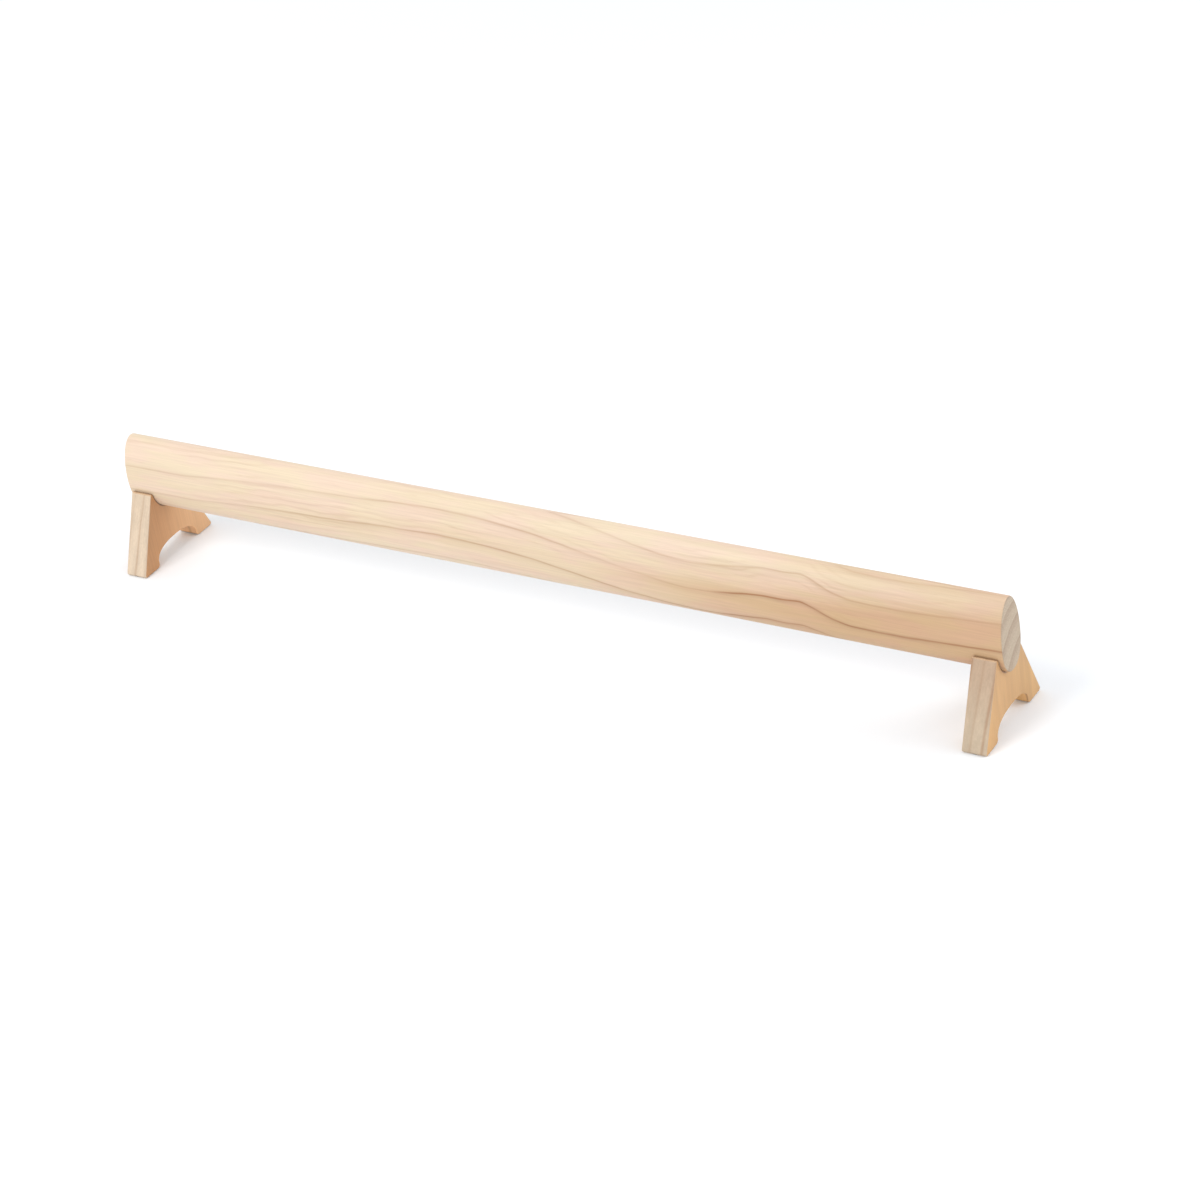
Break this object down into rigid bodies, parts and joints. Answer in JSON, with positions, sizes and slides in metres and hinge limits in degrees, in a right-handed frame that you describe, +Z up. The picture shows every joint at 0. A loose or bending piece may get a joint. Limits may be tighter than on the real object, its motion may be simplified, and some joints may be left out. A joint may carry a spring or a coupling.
{
  "type": "low floor balance and handstand bar",
  "caption": "Low solid-pine floor bar: an egg-section wooden rail lying in the saddles of two flared, arched bracket feet.",
  "frame": {"origin": "on the floor, under the middle of the rail", "axes": "+X along the rail to its right end, +Y towards the back, +Z up"},
  "size_m": [1.01, 0.12, 0.139],
  "materials": {
    "rail_pine": "satin, sanded and clear sealed",
    "foot_pine": "satin, sanded and clear sealed",
    "zinc_steel": "bright zinc plate",
    "dowel_beech": "raw, fluted",
    "pad_rubber": "matte"
  },
  "bodies": {
    "root": {"rail": "rail_pine", "left_foot": "foot_pine", "right_foot": "foot_pine", "left_front_screw": "zinc_steel", "left_back_screw": "zinc_steel", "right_front_screw": "zinc_steel", "right_back_screw": "zinc_steel", "left_dowel": "dowel_beech", "right_dowel": "dowel_beech", "left_front_pad": "pad_rubber", "left_back_pad": "pad_rubber", "right_front_pad": "pad_rubber", "right_back_pad": "pad_rubber"}
  },
  "joints": []
}
